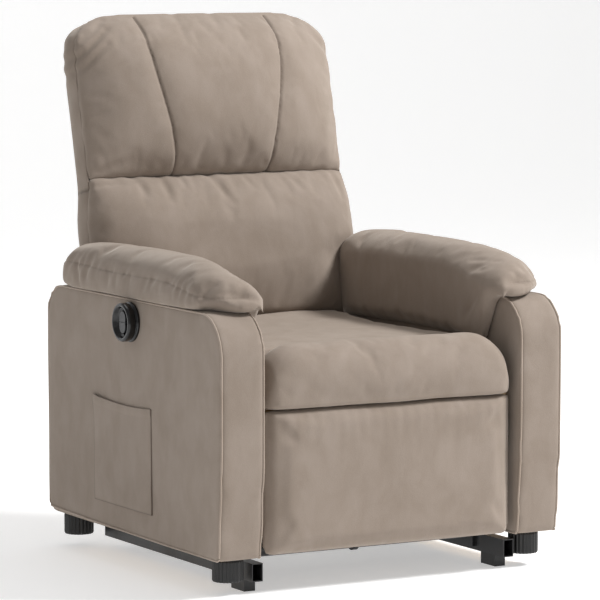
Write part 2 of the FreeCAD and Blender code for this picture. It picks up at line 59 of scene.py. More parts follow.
bmesh.ops.translate(floor_bm, verts=wall_top, vec=(0, 0, WALL_HEIGHT))
bmesh.ops.recalc_face_normals(floor_bm, faces=floor_bm.faces)
bends = [e for e in floor_bm.edges if all(v.co.y > NEARLY_FAR and v.co.z < 0.1 for v in e.verts)]
bmesh.ops.bevel(
    floor_bm, geom=bends, offset=SWEEP_RADIUS, segments=24, affect="EDGES", profile=0.5, material=-1
)
floor_mesh = bpy.data.meshes.new("studio_floor")
floor_bm.to_mesh(floor_mesh)
floor_bm.free()
floor_mesh.shade_smooth()
studio_floor = bpy.data.objects.new("studio_floor", floor_mesh)
bpy.context.scene.collection.objects.link(studio_floor)
paper = bpy.data.materials.new("pale_paper")
paper.use_nodes = True
paper_shader = paper.node_tree.nodes["Principled BSDF"]
paper_shader.inputs["Base Color"].default_value = (0.82, 0.82, 0.82, 1)
paper_shader.inputs["Roughness"].default_value = 0.9
paper_shader.inputs["Emission Color"].default_value = (1, 1, 1, 1)
paper_shader.inputs["Emission Strength"].default_value = 0.42
floor_mesh.materials.append(paper)

world = bpy.data.worlds.new("studio")
world.use_nodes = True
world.node_tree.nodes["Background"].inputs["Color"].default_value = (1.0, 0.99, 0.98, 1)
world.node_tree.nodes["Background"].inputs["Strength"].default_value = 0.32
bpy.context.scene.world = world
bpy.context.scene.view_settings.view_transform = "Standard"


def soft_light(name, place, aim, size, watts):
    """A square light panel that faces its aim."""
    lamp = bpy.data.lights.new(name, "AREA")
    lamp.size = size
    lamp.energy = watts
    panel = bpy.data.objects.new(name, lamp)
    facing = (Vector(aim) - Vector(place)).to_track_quat("-Z", "Y")
    panel.matrix_world = Matrix.LocRotScale(Vector(place), facing, None)
    bpy.context.scene.collection.objects.link(panel)


soft_light("key", (3.6, -2.3, 4.8), (0, 0, 0.5), 1.5, 450)
soft_light("fill", (-4.5, -2.5, 1.8), (0, 0, 0.5), 3.0, 12)
soft_light("top", (0.3, 1.0, 4.2), (0, 0, 0.6), 2.5, 30)

LOOK_AT = Vector((0, -0.09, 0.5))
AZIMUTH = math.radians(-29.457)
ELEVATION = math.radians(6.073)
DISTANCE = 7.634
towards_camera = Vector((
    math.sin(AZIMUTH) * math.cos(ELEVATION),
    -math.cos(AZIMUTH) * math.cos(ELEVATION),
    math.sin(ELEVATION),
))
lens = bpy.data.cameras.new("camera")
lens.lens = 226.4
lens.sensor_width = 36
lens.shift_x = -0.0058
lens.shift_y = 0.0202
camera = bpy.data.objects.new("camera", lens)
aim = (-towards_camera).to_track_quat("-Z", "Y")
camera.matrix_world = Matrix.LocRotScale(LOOK_AT + towards_camera * DISTANCE, aim, None)
bpy.context.scene.collection.objects.link(camera)
bpy.context.scene.camera = camera


# --- Base -----------------------------------------------------------------------------------
# Two rectangular steel rails, two cross tubes and the lugs, welded and powder coated black. The
# rails stand on moulded floor blocks, and the lift links turn on zinc-plated pins in the lugs.
class Tone:
    """One output in a material's node tree. Python sums and products of it add Math nodes."""

    def __init__(self, tree, output=None):
        self.tree = tree
        self.output = output

    def node(self, kind, settings, inputs, output=0):
        """Add a node: its settings first, then a value or a link for each socket named."""
        made = self.tree.nodes.new("ShaderNode" + kind)
        for setting, value in settings.items():
            setattr(made, setting, value)
        for socket, value in inputs.items():
            if isinstance(value, Tone):
                self.tree.links.new(value.output, made.inputs[socket])
            else:
                made.inputs[socket].default_value = value
        return Tone(self.tree, made.outputs[output])

    def maths(self, operation, first, second):
        return self.node("Math", {"operation": operation}, {0: first, 1: second})

    def mix(self, first, second):
        """From the first colour where this is 0 to the second where it is 1."""
        return self.node("Mix", {"data_type": "RGBA"}, {0: self, 6: first, 7: second}, 2)

    def ease(self, low, high):
        """0 below low, 1 above high, and smooth between."""
        settings = {"interpolation_type": "SMOOTHSTEP"}
        return self.node("MapRange", settings, {"Value": self, "From Min": low, "From Max": high})

    def __add__(self, other):
        return self.maths("ADD", self, other)

    def __sub__(self, other):
        return self.maths("SUBTRACT", self, other)

    def __rsub__(self, other):
        return self.maths("SUBTRACT", other, self)

    def __mul__(self, other):
        return self.maths("MULTIPLY", self, other)

    __radd__ = __add__
    __rmul__ = __mul__


class Finish:
    """A material being mixed: its shader and the patterns that vary it."""

    def __init__(self, name, roughness, metallic=0.0):
        self.material = bpy.data.materials.new(name)
        self.material.use_nodes = True
        self.shader = self.material.node_tree.nodes["Principled BSDF"]
        self.set("Roughness", roughness)
        self.set("Metallic", metallic)
        self.start = Tone(self.material.node_tree)
        self.place = self.start.node("TexCoord", {}, {}, "Object")

    def set(self, socket, value):
        if isinstance(value, Tone):
            self.material.node_tree.links.new(value.output, self.shader.inputs[socket])
        else:
            self.shader.inputs[socket].default_value = value

    def grain(self, scale, detail=3.0, stretch=(1, 1, 1), distortion=0.0):
        """Soft noise from 0 to 1, with about `scale` blots to the metre."""
        place = self.start.node("Mapping", {}, {"Vector": self.place, "Scale": stretch})
        inputs = {"Vector": place, "Scale": scale, "Detail": detail, "Distortion": distortion}
        return self.start.node("TexNoise", {}, inputs)

    def relief(self, height, depth, strength=1.0):
        """Raise the surface by `depth` metres where the height is 1."""
        inputs = {"Height": height, "Distance": depth, "Strength": strength}
        self.set("Normal", self.start.node("Bump", {}, inputs, "Normal"))


def powder_coat():
    """Black powder coat: a fine orange peel, with rubbed and dusty patches."""
    finish = Finish("powder_coat", 0.42)
    rubbed = finish.grain(14, 5).ease(0.52, 0.75)
    finish.set("Base Color", rubbed.mix((0.012, 0.012, 0.013, 1), (0.035, 0.034, 0.033, 1)))
    finish.set("Roughness", 0.36 + 0.2 * rubbed)
    finish.relief(finish.grain(520, 2), 0.0004, 0.5)
    return finish.material


def zinc_plate():
    """Zinc-plated steel with a faint mottle and fine scratches."""
    finish = Finish("zinc_plate", 0.35, 1.0)
    mottle = finish.grain(60, 4)
    scratches = finish.grain(300, 2, (0.08, 1, 1))
    finish.set("Base Color", mottle.mix((0.42, 0.42, 0.41, 1), (0.62, 0.62, 0.6, 1)))
    finish.set("Roughness", 0.26 + 0.14 * mottle + 0.1 * scratches)
    finish.relief(scratches, 0.0002, 0.4)
    return finish.material


def moulded_plastic(name, dark, light, roughness):
    """Moulded plastic with a spark-eroded texture."""
    finish = Finish(name, roughness)
    finish.set("Base Color", finish.grain(22, 4).mix(dark, light))
    finish.relief(finish.grain(900, 2), 0.0003, 0.5)
    return finish.material


def paint(material, *nodes):
    """Give carried-over nodes a finish."""
    for node in nodes:
        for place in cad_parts[node].material_slots:
            place.material = material


black_coat = powder_coat()
zinc = zinc_plate()
foot_plastic = moulded_plastic("foot_plastic", (0.005, 0.005, 0.005, 1), (0.011, 0.011, 0.011, 1), 0.42)
paint(black_coat, "base_rail_left", "base_rail_right", "base_mid_tube", "base_rear_tube", "base_lugs")
paint(black_coat, "actuator_bracket")
paint(zinc, "base_pivot_pins")
paint(foot_plastic, "base_floor_pads")


# --- Lift linkage -----------------------------------------------------------------------------
# Flat steel links and a torque tube with the lever that the motor pushes, painted black.
paint(black_coat, "lift_link_left", "lift_link_right", "rear_link_left", "rear_link_right")
paint(black_coat, "lift_torque_tube", "lift_lever")


# --- Actuator -----------------------------------------------------------------------------------
# The lift motor: a grey plastic gearbox and motor case, a plated guide tube and a bright rod.
case_plastic = moulded_plastic("case_plastic", (0.05, 0.052, 0.055, 1), (0.07, 0.072, 0.075, 1), 0.45)
paint(case_plastic, "actuator_gearbox", "actuator_motor")
paint(foot_plastic, "power_inlet")
paint(zinc, "actuator_tube", "actuator_rod", "actuator_clevis")


# --- Chassis ------------------------------------------------------------------------------------
# Black steel side plates and brackets carry a seat frame of softwood rails. Wavy springs of hard
# drawn wire hook between its front and back rails.
def softwood():
    """Planed pine: long fibres with darker late wood."""
    finish = Finish("softwood", 0.65)
    rings = finish.grain(9, 4, (0.25, 1, 1.4), 1.5)
    fibres = finish.grain(240, 3, (0.04, 1, 1))
    late = rings.ease(0.45, 0.62)
    pale = fibres.mix((0.56, 0.38, 0.2, 1), (0.68, 0.49, 0.28, 1))
    finish.set("Base Color", (late * 0.5).mix(pale, (0.42, 0.25, 0.12, 1)))
    finish.set("Roughness", 0.55 + 0.2 * fibres)
    finish.relief(fibres, 0.0006, 0.5)
    return finish.material


wood = softwood()
paint(black_coat, "side_plate_left", "side_plate_right", "recline_brackets")
paint(zinc, "chassis_pivot_pins", "seat_springs")
paint(wood, "seat_frame", "rear_cross_rail", "arm_frame_left", "arm_frame_right")


# --- Seat cushion -------------------------------------------------------------------------------
# A deep foam seat in brushed taupe microfibre, stapled to the frame. It is crowned, and it runs
# under the back cushion behind and into a seam with the front roll.
CLOTH_DARK = (0.242, 0.194, 0.156)
CLOTH_PALE = (0.298, 0.245, 0.205)
# Brown painted into the seams as shade.
SEAM_SHADE_BROWN = (0.07, 0.05, 0.037, 1)


def microfibre(name, light):
    """Brushed taupe microfibre: a short nap that marks in soft patches, with painted shade in its seams.
    """
    finish = Finish(name, 0.86)
    brushed = finish.grain(11, 6, (1, 1, 0.8), 0.8)
    strokes = finish.grain(38, 4, (1, 1, 0.5), 0.5)
    nap = finish.grain(520, 3)
    shade = 0.5 * brushed + 0.3 * strokes + 0.2 * nap
    low, high = ([light * part for part in tint] + [1] for tint in (CLOTH_DARK, CLOTH_PALE))
    cloth = shade.ease(0.3, 0.7).mix(low, high)
    # Painted shade: the cloth turns towards the brown where a seam was sewn.
    painted_seam_shade = finish.start.node("Attribute", {"attribute_name": "painted_seam_shade"}, {}, "Fac")
    finish.set("Base Color", (0.62 * painted_seam_shade).mix(cloth, SEAM_SHADE_BROWN))
    finish.set("Roughness", 0.8 + 0.15 * nap)
    finish.set("Sheen Weight", 0.35)
    finish.set("Sheen Roughness", 0.45)
    finish.set("Sheen Tint", (0.95, 0.88, 0.8, 1))
    finish.set("Specular IOR Level", 0.25)
    finish.relief(0.6 * nap + 0.4 * strokes, 0.0012, 0.45)
    return finish.material


upholstery = microfibre("microfibre", 1.0)


def mapped_block(cuts, place):
    """A closed block. `place` takes each corner from a cube of -1 to 1 to where it belongs."""
    form = bmesh.new()
    bmesh.ops.create_cube(form, size=2)
    bmesh.ops.subdivide_edges(form, edges=form.edges, cuts=cuts, use_grid_fill=True)
    for corner in form.verts:
        corner.co = place(*corner.co)
    return form


def as_object(form):
    """A throwaway object of a bmesh, for a modifier to work on."""
    mesh = bpy.data.meshes.new("form")
    form.to_mesh(mesh)
    form.free()
    made = bpy.data.objects.new("form", mesh)
    bpy.context.scene.collection.objects.link(made)
    return made


def from_object(made):
    """The bmesh of a throwaway object with its modifiers applied. The object goes."""
    shown = made.evaluated_get(bpy.context.evaluated_depsgraph_get())
    mesh = bpy.data.meshes.new_from_object(shown)
    form = bmesh.new()
    form.from_mesh(mesh)
    bpy.data.objects.remove(made)
    bpy.data.meshes.remove(mesh)
    return form


def relax(form, rounds, factor):
    """Ease every corner towards the middle of its neighbours."""
    for _ in range(rounds):
        bmesh.ops.smooth_vert(
            form, verts=form.verts, factor=factor, use_axis_x=True, use_axis_y=True, use_axis_z=True
        )


def even_skin(form, size, rounds=4):
    """The same form as even squares of one size, relaxed."""
    made = as_object(form)
    even = made.modifiers.new("even", "REMESH")
    even.mode = "VOXEL"
    even.voxel_size = size
    form = from_object(made)
    relax(form, rounds, 0.5)
    return form


CLOTH_STIFFNESS = 15.0
FILLING_STEPS = 20


def swell(form, held, pressure, cap, growth=0.03):
    """Fill a sewn form: it blows up as cloth, except where `held` says 1, and by the cap at most."""
    rest = [corner.co.copy() for corner in form.verts]
    made = as_object(form)
    sewn = made.vertex_groups.new(name="sewn")
    for corner in made.data.vertices:
        sewn.add([corner.index], min(1.0, max(0.0, held(corner.co))), "REPLACE")
    filling = made.modifiers.new("filling", "CLOTH")
    cloth = filling.settings
    cloth.quality = 5
    cloth.mass = 0.25
    cloth.tension_stiffness = CLOTH_STIFFNESS
    cloth.compression_stiffness = CLOTH_STIFFNESS
    cloth.shear_stiffness = CLOTH_STIFFNESS / 2
    cloth.bending_stiffness = 0.6
    cloth.vertex_group_mass = "sewn"
    cloth.pin_stiffness = 1.0
    cloth.shrink_min = -growth
    cloth.use_pressure = True
    cloth.uniform_pressure_force = pressure
    cloth.effector_weights.gravity = 0
    filling.point_cache.frame_start = 1
    filling.point_cache.frame_end = FILLING_STEPS
    for moment in range(1, FILLING_STEPS + 1):
        bpy.context.scene.frame_set(moment)
    form = from_object(made)
    bpy.context.scene.frame_set(1)
    form.verts.ensure_lookup_table()
    for corner, start in zip(form.verts, rest):
        way = corner.co - start
        if way.length > cap:
            corner.co = start + way * (cap / way.length)
    relax(form, 2, 0.4)
    return form


PROBE = 0.0002
SLIDE_REACH = 0.0017


def sew(form, distance, width, depth, shade=1.0):
    """Sink a seam and paint shade into it. `distance` gives how far a point is from its line; painted
    shade darkens the seam, `shade` times as strong. The skin is made finer beside the line, and the
    corners nearest to it slide onto it."""
    layer = form.verts.layers.float.get("painted_seam_shade") or form.verts.layers.float.new("painted_seam_shade")
    beside = [edge for edge in form.edges if min(distance(corner.co) for corner in edge.verts) < 2 * width]
    bmesh.ops.subdivide_edges(form, edges=beside, cuts=1, use_grid_fill=True)
    ways = [Vector((PROBE, 0, 0)), Vector((0, PROBE, 0)), Vector((0, 0, PROBE))]
    for corner in form.verts:
        gap = distance(corner.co)
        if PROBE < gap < SLIDE_REACH:
            slope = [distance(corner.co + way) - distance(corner.co - way) for way in ways]
            slope = Vector(slope) / (2 * PROBE)
            if 0.5 < slope.length < 2:
                corner.co -= slope * (gap / slope.length_squared)
    form.normal_update()
    moves = []
    for corner in form.verts:
        near = math.exp(-((distance(corner.co) / width) ** 2))
        # Painted shade, written into the seam shade layer for the cloth's colour.
        corner[layer] = min(1.0, corner[layer] + shade * near ** 2)
        moves.append(corner.normal * (-depth * near))
    for corner, move in zip(form.verts, moves):
        corner.co += move


def dent(form, depth):
    """Move each point along its normal by what `depth` gives for its place, inwards if below 0."""
    form.normal_update()
    moves = [corner.normal * depth(corner.co, corner.normal) for corner in form.verts]
    for corner, move in zip(form.verts, moves):
        corner.co += move


def finished(name, form, body, replaces=(), fill=None, levels=1, slot="upholstery", material=upholstery):
    """A finished piece on its body, standing for its solids. The fill is not used."""
    mesh = bpy.data.meshes.new(name)
    form.to_mesh(mesh)
    form.free()
    mesh.shade_smooth()
    mesh.materials.append(material)
    piece = bpy.data.objects.new(name, mesh)
    bpy.context.scene.collection.objects.link(piece)
    if levels:
        finer = piece.modifiers.new("finer", "SUBSURF")
        finer.levels = levels
        finer.render_levels = levels
    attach(piece, body)
    if replaces:
        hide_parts(*replaces)
    return piece


def smooth_step(low, high, value):
    """0 below low, 1 above high, and smooth between. High may be under low."""
    share = min(1.0, max(0.0, (value - low) / (high - low)))
    return share * share * (3 - 2 * share)


def rumple(place, scale, seed):
    """Soft noise of about -1 to 1, with bumps `scale` metres across."""
    return noise.noise(Vector(place) / scale + Vector((seed, 0, 0)))


def rounded(reach, radius):
    """How far a corner of this radius has fallen away, `reach` metres past where it begins."""
    past = min(radius, max(0.0, reach))
    return radius - math.sqrt(radius ** 2 - past ** 2)


SKIN = 0.0065
FOAM_PRESSURE = 4.0
seat_low, seat_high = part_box("seat_cushion")
SEAT_UNDER_BACK = 0.053


def seat_place(a, b, c):
    half = seat_high.x - 0.002
    x = a * half
    y = seat_low.y + 0.001 + (b + 1) / 2 * (seat_high.y + SEAT_UNDER_BACK - seat_low.y)
    crown = (1 - abs(a) ** 4) * (1 - max(0.0, -b) ** 6)
    top = seat_high.z - 0.016 + 0.008 * crown - rounded(abs(x) - half + 0.028, 0.028)
    top += 0.004 * smooth_step(0.55, 0.9, b)
    return Vector((x, y, seat_low.z + (c + 1) / 2 * (top - seat_low.z)))


def seat_held(place):
    return 1.0 if place.z < seat_low.z + 0.01 else 0.0


seat = even_skin(mapped_block(24, seat_place), 0.007)
seat = swell(seat, seat_held, FOAM_PRESSURE, 0.012)
dent(seat, lambda place, out: 0.0015 * out.z * rumple(place, 0.09, 3))
finished("seat_cushion_cover", seat, "chassis", ["seat_cushion"], fill=0.8)


# --- Seat front roll ----------------------------------------------------------------------------
# A stuffed roll across the front of the seat, which overhangs the footrest. Its upper corners are
# round, it fills the width between the arms, and its lower edge is a seam.
roll_low, roll_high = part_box("seat_front_roll")


def roll_place(a, b, c):
    half = roll_high.x - 0.003
    x = a * half
    top = roll_high.z - 0.008 - rounded(abs(x) - half + 0.088, 0.088)
    bottom = roll_low.z - 0.006
    front = roll_low.y + 0.007 + rounded(abs(x) - half + 0.026, 0.026)
    y = front + (b + 1) / 2 * (roll_high.y - 0.001 - front)
    top -= rounded(0.055 - (y - front), 0.055)
    top -= 0.018 * smooth_step(0.3, 1.0, b)
    bottom += 0.2 * rounded(0.012 - (y - front), 0.012)
    return Vector((x, y, bottom + (c + 1) / 2 * (max(top, bottom + 0.02) - bottom)))


def roll_held(place):
    under = smooth_step(roll_low.z + 0.012, roll_low.z + 0.002, place.z)
    behind = smooth_step(roll_high.y - 0.008, roll_high.y - 0.002, place.y)
    return max(under, behind)


roll = even_skin(mapped_block(28, roll_place), SKIN, 2)
roll = swell(roll, roll_held, FOAM_PRESSURE, 0.008, 0.005)
dent(roll, lambda place, out: 0.0022 * rumple(place, 0.13, 5) + 0.0008 * rumple(place, 0.04, 6))
finished("seat_front_roll_cover", roll, "chassis", ["seat_front_roll"], fill=0.8)


# --- Arm covers -----------------------------------------------------------------------------------
# Each arm box is padded and covered in three panels: one on each face, and a band between them over
# the front, top and back. Thin piping runs along both seams.
def arm_profile():
    """An arm box's outline from the side, at x 0, as one face."""
    low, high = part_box("arm_outer_panel_left")
    form = bmesh.new()
    corners = [(low.y + 0.014, low.z), (low.y, 0.27), (low.y, high.z), (high.y, high.z), (high.y, low.z)]
    made = [form.verts.new((0, y, z)) for y, z in corners]
    form.faces.new(made)
    for corner, radius in zip(made, (0.008, 0.05, 0.082, 0.068, 0.035)):
        bmesh.ops.bevel(
            form, geom=[corner], offset=radius, segments=12, affect="VERTICES", profile=0.5, material=-1
        )
    return form


def piping(points, radius):
    """A thin cord of cloth along a line of points."""
    line = bpy.data.curves.new("piping", "CURVE")
    line.dimensions = "3D"
    line.bevel_depth = radius
    line.bevel_resolution = 2
    line.use_fill_caps = True
    run = line.splines.new("POLY")
    run.points.add(len(points) - 1)
    for knot, place in zip(run.points, points):
        knot.co = (*place, 1)
    made = bpy.data.objects.new("piping", line)
    bpy.context.scene.collection.objects.link(made)
    return from_object(made)


def hug(form, points, lift):
    """The points, drawn onto the form's surface and lifted off it a little."""
    surface = BVHTree.FromBMesh(form)
    drawn = []
    for point in points:
        place, out, _, _ = surface.find_nearest(point)
        drawn.append(place + out * lift)
    return drawn


def trimmed(form, planes):
    """A copy of a form, cut off past each plane: a point on it, and the way that is cut away."""
    part = form.copy()
    for place, way in planes:
        everything = part.verts[:] + part.edges[:] + part.faces[:]
        bmesh.ops.bisect_plane(
            part, geom=everything, dist=1e-5, plane_co=place, plane_no=way, clear_outer=True
        )
    return part


def thicken(cover):
    """Give a cover the thickness of its cloth, before its faces are made finer."""
    cloth = cover.modifiers.new("cloth", "SOLIDIFY")
    cloth.thickness = 0.003
    cloth.offset = -1
    cover.modifiers.move(1, 0)


def mirrored(form):
    """A copy of a form for the chair's other side."""
    other = form.copy()
    bmesh.ops.scale(other, verts=other.verts, vec=(-1, 1, 1))
    bmesh.ops.reverse_faces(other, faces=other.faces)
    return other


def both_sides(name, form, nodes=(), **more):
    """The same soft piece on the left arm and on the right one, and the two objects."""
    pieces = []
    for side, copy in (("left", form.copy()), ("right", mirrored(form))):
        stands_for = [node + side for node in nodes]
        pieces.append(finished(name + "_" + side, copy, "chassis", stands_for, **more))
    form.free()
    return pieces


arm_low, arm_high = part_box("arm_outer_panel_left")
ARM_OUT = arm_low.x
ARM_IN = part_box("arm_inner_panel_left")[1].x
SEAM_IN = 0.0032


def arm_swelling(place, out):
    """The padded faces are full in the middle and firm at the seams."""
    y = (place.y - arm_low.y) / (arm_high.y - arm_low.y) * 2 - 1
    z = (place.z - arm_low.z) / (arm_high.z - arm_low.z) * 2 - 1
    full = max(0.0, (1 - abs(y) ** 4) * (1 - abs(z) ** 4))
    ripple = 0.0012 * rumple(place, 0.16, 8)
    return (0.003 * full - 0.001 + ripple) * abs(out.x) + 0.001 * (1 - abs(out.x))


arm = arm_profile()
outline = [corner.co.copy() for corner in arm.faces[:][0].verts]
bmesh.ops.translate(arm, verts=arm.verts, vec=(ARM_OUT, 0, 0))
pushed = bmesh.ops.extrude_face_region(arm, geom=arm.faces[:])
far_side = [g for g in pushed["geom"] if isinstance(g, bmesh.types.BMVert)]
bmesh.ops.translate(arm, verts=far_side, vec=(ARM_IN - ARM_OUT, 0, 0))
bmesh.ops.recalc_face_normals(arm, faces=arm.faces)
bmesh.ops.triangulate(arm, faces=[f for f in arm.faces if len(f.verts) > 4])
arm = even_skin(arm, 0.0075, 1)
dent(arm, arm_swelling)

for panel, cuts, node in (
    ("outer", [(ARM_OUT + SEAM_IN, 1)], "arm_outer_panel_"),
    ("inner", [(ARM_IN - SEAM_IN, -1)], "arm_inner_panel_"),
    ("band", [(ARM_OUT + SEAM_IN, -1), (ARM_IN - SEAM_IN, 1)], "arm_front_band_"),
):
    planes = [((x, 0, 0), (way, 0, 0)) for x, way in cuts] + [((0, 0, arm_low.z + 0.0015), (0, 0, -1))]
    for cover in both_sides("arm_" + panel + "_cover", trimmed(arm, planes), [node]):
        thicken(cover)

NEARLY_LOWEST = 0.08
start = min(range(len(outline)), key=lambda i: (outline[i].z > NEARLY_LOWEST, outline[i].y))
outline = outline[start:] + outline[:start]
if outline[1].y > outline[0].y + 0.1:
    outline.reverse()
outline = [place for place in outline if place.z > 0.079 or place.y < -0.42]
PIPING_RADIUS = 0.0020
PIPING_LIFT = 0.0008
PIPING_STEP = 0.02
# The piping's cloth is painted 1.35 times lighter than the rest: a painted highlight along the seam
# ridges.
piping_highlight_cloth = microfibre("piping_highlight_cloth", 1.35)
for x, seam in ((ARM_OUT + SEAM_IN * 0.5, "outer"), (ARM_IN - SEAM_IN * 0.5, "inner")):
    run = []
    for first, second in zip(outline, outline[1:]):
        steps = max(1, int((second - first).length / PIPING_STEP))
        run += [first.lerp(second, step / steps) for step in range(steps)]
    run = hug(arm, [Vector((x, place.y, place.z)) for place in run], PIPING_LIFT)
    both_sides("arm_piping_" + seam, piping(run, PIPING_RADIUS), levels=0, material=piping_highlight_cloth)


# --- Arm pads -------------------------------------------------------------------------------------
# A soft pad lies along the top of each arm. It overhangs the arm's face outside, hangs down beside
# the seat inside, and its nose is gathered over the arm's rounded front. A lapped seam runs along the
# outside and round the nose.
pad_low, pad_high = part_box("arm_pad_left")
PAD_OUT = -pad_low.x
PAD_IN = -pad_high.x
PAD_MIDDLE = (PAD_IN + PAD_OUT) / 2
PAD_REACH = (PAD_OUT - PAD_IN) / 2
PAD_SEAT = arm_high.z + 0.002
FLAP_EDGE = -ARM_IN - 0.001


def pad_crown(y):
    """Height of the pad's ridge along the arm."""
    fall = max(0.0, -0.15 - y)
    return pad_high.z - 0.006 - 0.56 * fall ** 2 - 0.25 * max(0.0, y - 0.1) ** 2


def pad_flap(y):
    """Height of the hanging flap's lower edge."""
    rise = smooth_step(-0.340, -0.375, y) * 0.088 + smooth_step(-0.375, -0.41, y) * 0.012
    return pad_low.z - 0.020 + rise


def pad_place(a, b, c):
    out = PAD_IN + 0.004 + (a + 1) / 2 * (PAD_OUT - PAD_IN - 0.010)
    across = (out - PAD_MIDDLE) / PAD_REACH
    front = pad_low.y + 0.006 + 0.075 * smooth_step(0.30, 0.42, out) ** 1.5
    rear = pad_high.y + 0.014
    y = front + (b + 1) / 2 * (rear - front)
    ends = rounded(0.040 - (y - front), 0.040) + rounded(0.02 - (rear - y), 0.02)
    top = pad_crown(y) - 0.034 * abs(across) ** 3.2
    top -= 0.75 * ends
    bottom = pad_flap(y)
    if out >= FLAP_EDGE:
        bottom = PAD_SEAT - 0.001 - 0.8 * rounded(arm_low.y + 0.090 - y, 0.090) + 0.35 * ends
    return Vector((-out, y, bottom + (c + 1) / 2 * (top - bottom)))


def pad_held(place):
    beside = smooth_step(-ARM_IN - 0.008, -ARM_IN - 0.003, -place.x) * smooth_step(0.565, 0.55, place.z)
    below = smooth_step(PAD_SEAT + 0.010, PAD_SEAT + 0.002, place.z) * smooth_step(0.286, 0.292, -place.x)
    return max(beside, below)


def pad_seam_height(y):
    """Height of the lapped seam on the pad's outer side."""
    return 0.592 - 0.020 * smooth_step(-0.20, -0.40, y) + 0.006 * smooth_step(0.0, 0.2, y)


def fold(place, start, end, width):
    """A soft valley along the line from start to end, with a ridge on each side. 1 at its bottom."""
    line = end - start
    share = min(1.0, max(0.0, (place - start).dot(line) / line.length_squared))
    away = (place - start - line * share).length / width
    fade = math.sin(math.pi * min(0.9, max(0.1, share))) ** 0.5
    return fade * (1 - 0.8 * away ** 2) * math.exp(-(away ** 2))


# Each fold runs from one (outwards, y, z) to another. Its half width and its depth follow.
PAD_FOLDS = [
    ((0.262, -0.345, 0.560), (0.292, -0.400, 0.566), 0.008, 0.0045),
    ((0.268, -0.335, 0.592), (0.322, -0.418, 0.588), 0.007, 0.0035),
    ((0.272, -0.290, 0.612), (0.345, -0.410, 0.592), 0.008, 0.0030),
    ((0.300, -0.270, 0.628), (0.375, -0.372, 0.592), 0.008, 0.0020),
    ((0.256, -0.300, 0.500), (0.256, -0.352, 0.552), 0.011, 0.0045),
    ((0.256, -0.322, 0.470), (0.256, -0.358, 0.530), 0.008, 0.0035),
    ((0.396, -0.300, 0.560), (0.390, -0.330, 0.606), 0.007, 0.0025),
    ((0.396, -0.325, 0.562), (0.384, -0.356, 0.598), 0.006, 0.0025),
    ((0.396, 0.110, 0.560), (0.392, 0.128, 0.612), 0.008, 0.004),
    ((0.396, 0.140, 0.556), (0.390, 0.166, 0.612), 0.009, 0.005),
]


def pad_gathers(place, out):
    """Short folds that run from the seam towards the ridge at each end, and a few on the flap."""
    ends = smooth_step(-0.22, -0.30, place.y) + smooth_step(0.07, 0.14, place.y)
    outside = smooth_step(0.36, 0.385, -place.x)
    near_seam = math.exp(-(((place.z - pad_seam_height(place.y) - 0.004) / 0.030) ** 2))
    folds = math.sin((place.y + 0.35 * place.z) * 230 + 5 * rumple(place, 0.06, 11))
    depth = 0.0015 * ends * outside * near_seam * folds
    outwards = Vector((-place.x, place.y, place.z))
    for start, end, width, sink in PAD_FOLDS:
        depth -= sink * fold(outwards, Vector(start), Vector(end), width)
    return depth + 0.0012 * rumple(place, 0.10, 13)


pad = even_skin(mapped_block(30, pad_place), SKIN)
pad = swell(pad, pad_held, FOAM_PRESSURE, 0.010, 0.02)
dent(pad, pad_gathers)


def from_pad_seam(place):
    if -place.x < 0.345 and place.y > -0.36:
        return 1.0
    return abs(place.z - pad_seam_height(place.y)) + 0.3 * smooth_step(-0.30, -0.28, place.x)


sew(pad, from_pad_seam, 0.0026, 0.0013, 0.3)
both_sides("arm_pad_cover", pad, ["arm_pad_"], fill=0.75)


# --- Feet -------------------------------------------------------------------------------------------
# Round black plastic feet with fluted sides, screwed up into the arm frames.
FLUTE_SHARE = 0.955


def foot(middle_x, middle_y, low, high, radius):
    """A fluted disc drawn up in four steps: a broader sole, the body, a neck and a top plate."""
    form = bmesh.new()
    bmesh.ops.create_circle(form, cap_ends=True, radius=radius - 0.001, segments=96)
    for number, corner in enumerate(form.verts):
        corner.co *= 1.0 if number % 4 < 2 else FLUTE_SHARE
    bmesh.ops.translate(form, verts=form.verts, vec=(middle_x, middle_y, low))
    sole = form.faces[:]
    bmesh.ops.reverse_faces(form, faces=sole)
    for rise, share in ((0.003, 1.05), (high - low - 0.009, 1.0), (0.003, 0.97), (0.003, 1.0)):
        grown = bmesh.ops.extrude_face_region(form, geom=sole)
        top = [g for g in grown["geom"] if isinstance(g, bmesh.types.BMVert)]
        bmesh.ops.translate(form, verts=top, vec=(0, 0, rise))
        around = Matrix.Translation((-middle_x, -middle_y, 0))
        bmesh.ops.scale(form, verts=top, vec=(share, share, 1), space=around)
        sole = [g for g in grown["geom"] if isinstance(g, bmesh.types.BMFace)]
    bmesh.ops.recalc_face_normals(form, faces=form.faces)
    return form


for end in ("front", "rear"):
    for side in ("left", "right"):
        node = "foot_" + end + "_" + side
        low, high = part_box(node)
        middle = (low + high) / 2
        form = foot(middle.x, middle.y, low.z, high.z, (high.x - low.x) / 2)
        made_of = {"slot": "foot_plastic", "material": foot_plastic}
        piece = finished(node + "_fluted", form, "chassis", [node], levels=0, **made_of)
        piece.data.shade_flat()


# --- Storage pocket ---------------------------------------------------------------------------------
# A flat pouch sewn to the left arm's outer panel on three sides, with a turned hem along its mouth.
pocket_low, pocket_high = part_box("storage_pocket")


def pocket_mouth(along):
    """The hem sags between its corners, and its rear end stands a little proud."""
    return pocket_high.z - 0.0065 * (1 - along ** 2) - 0.002 * along


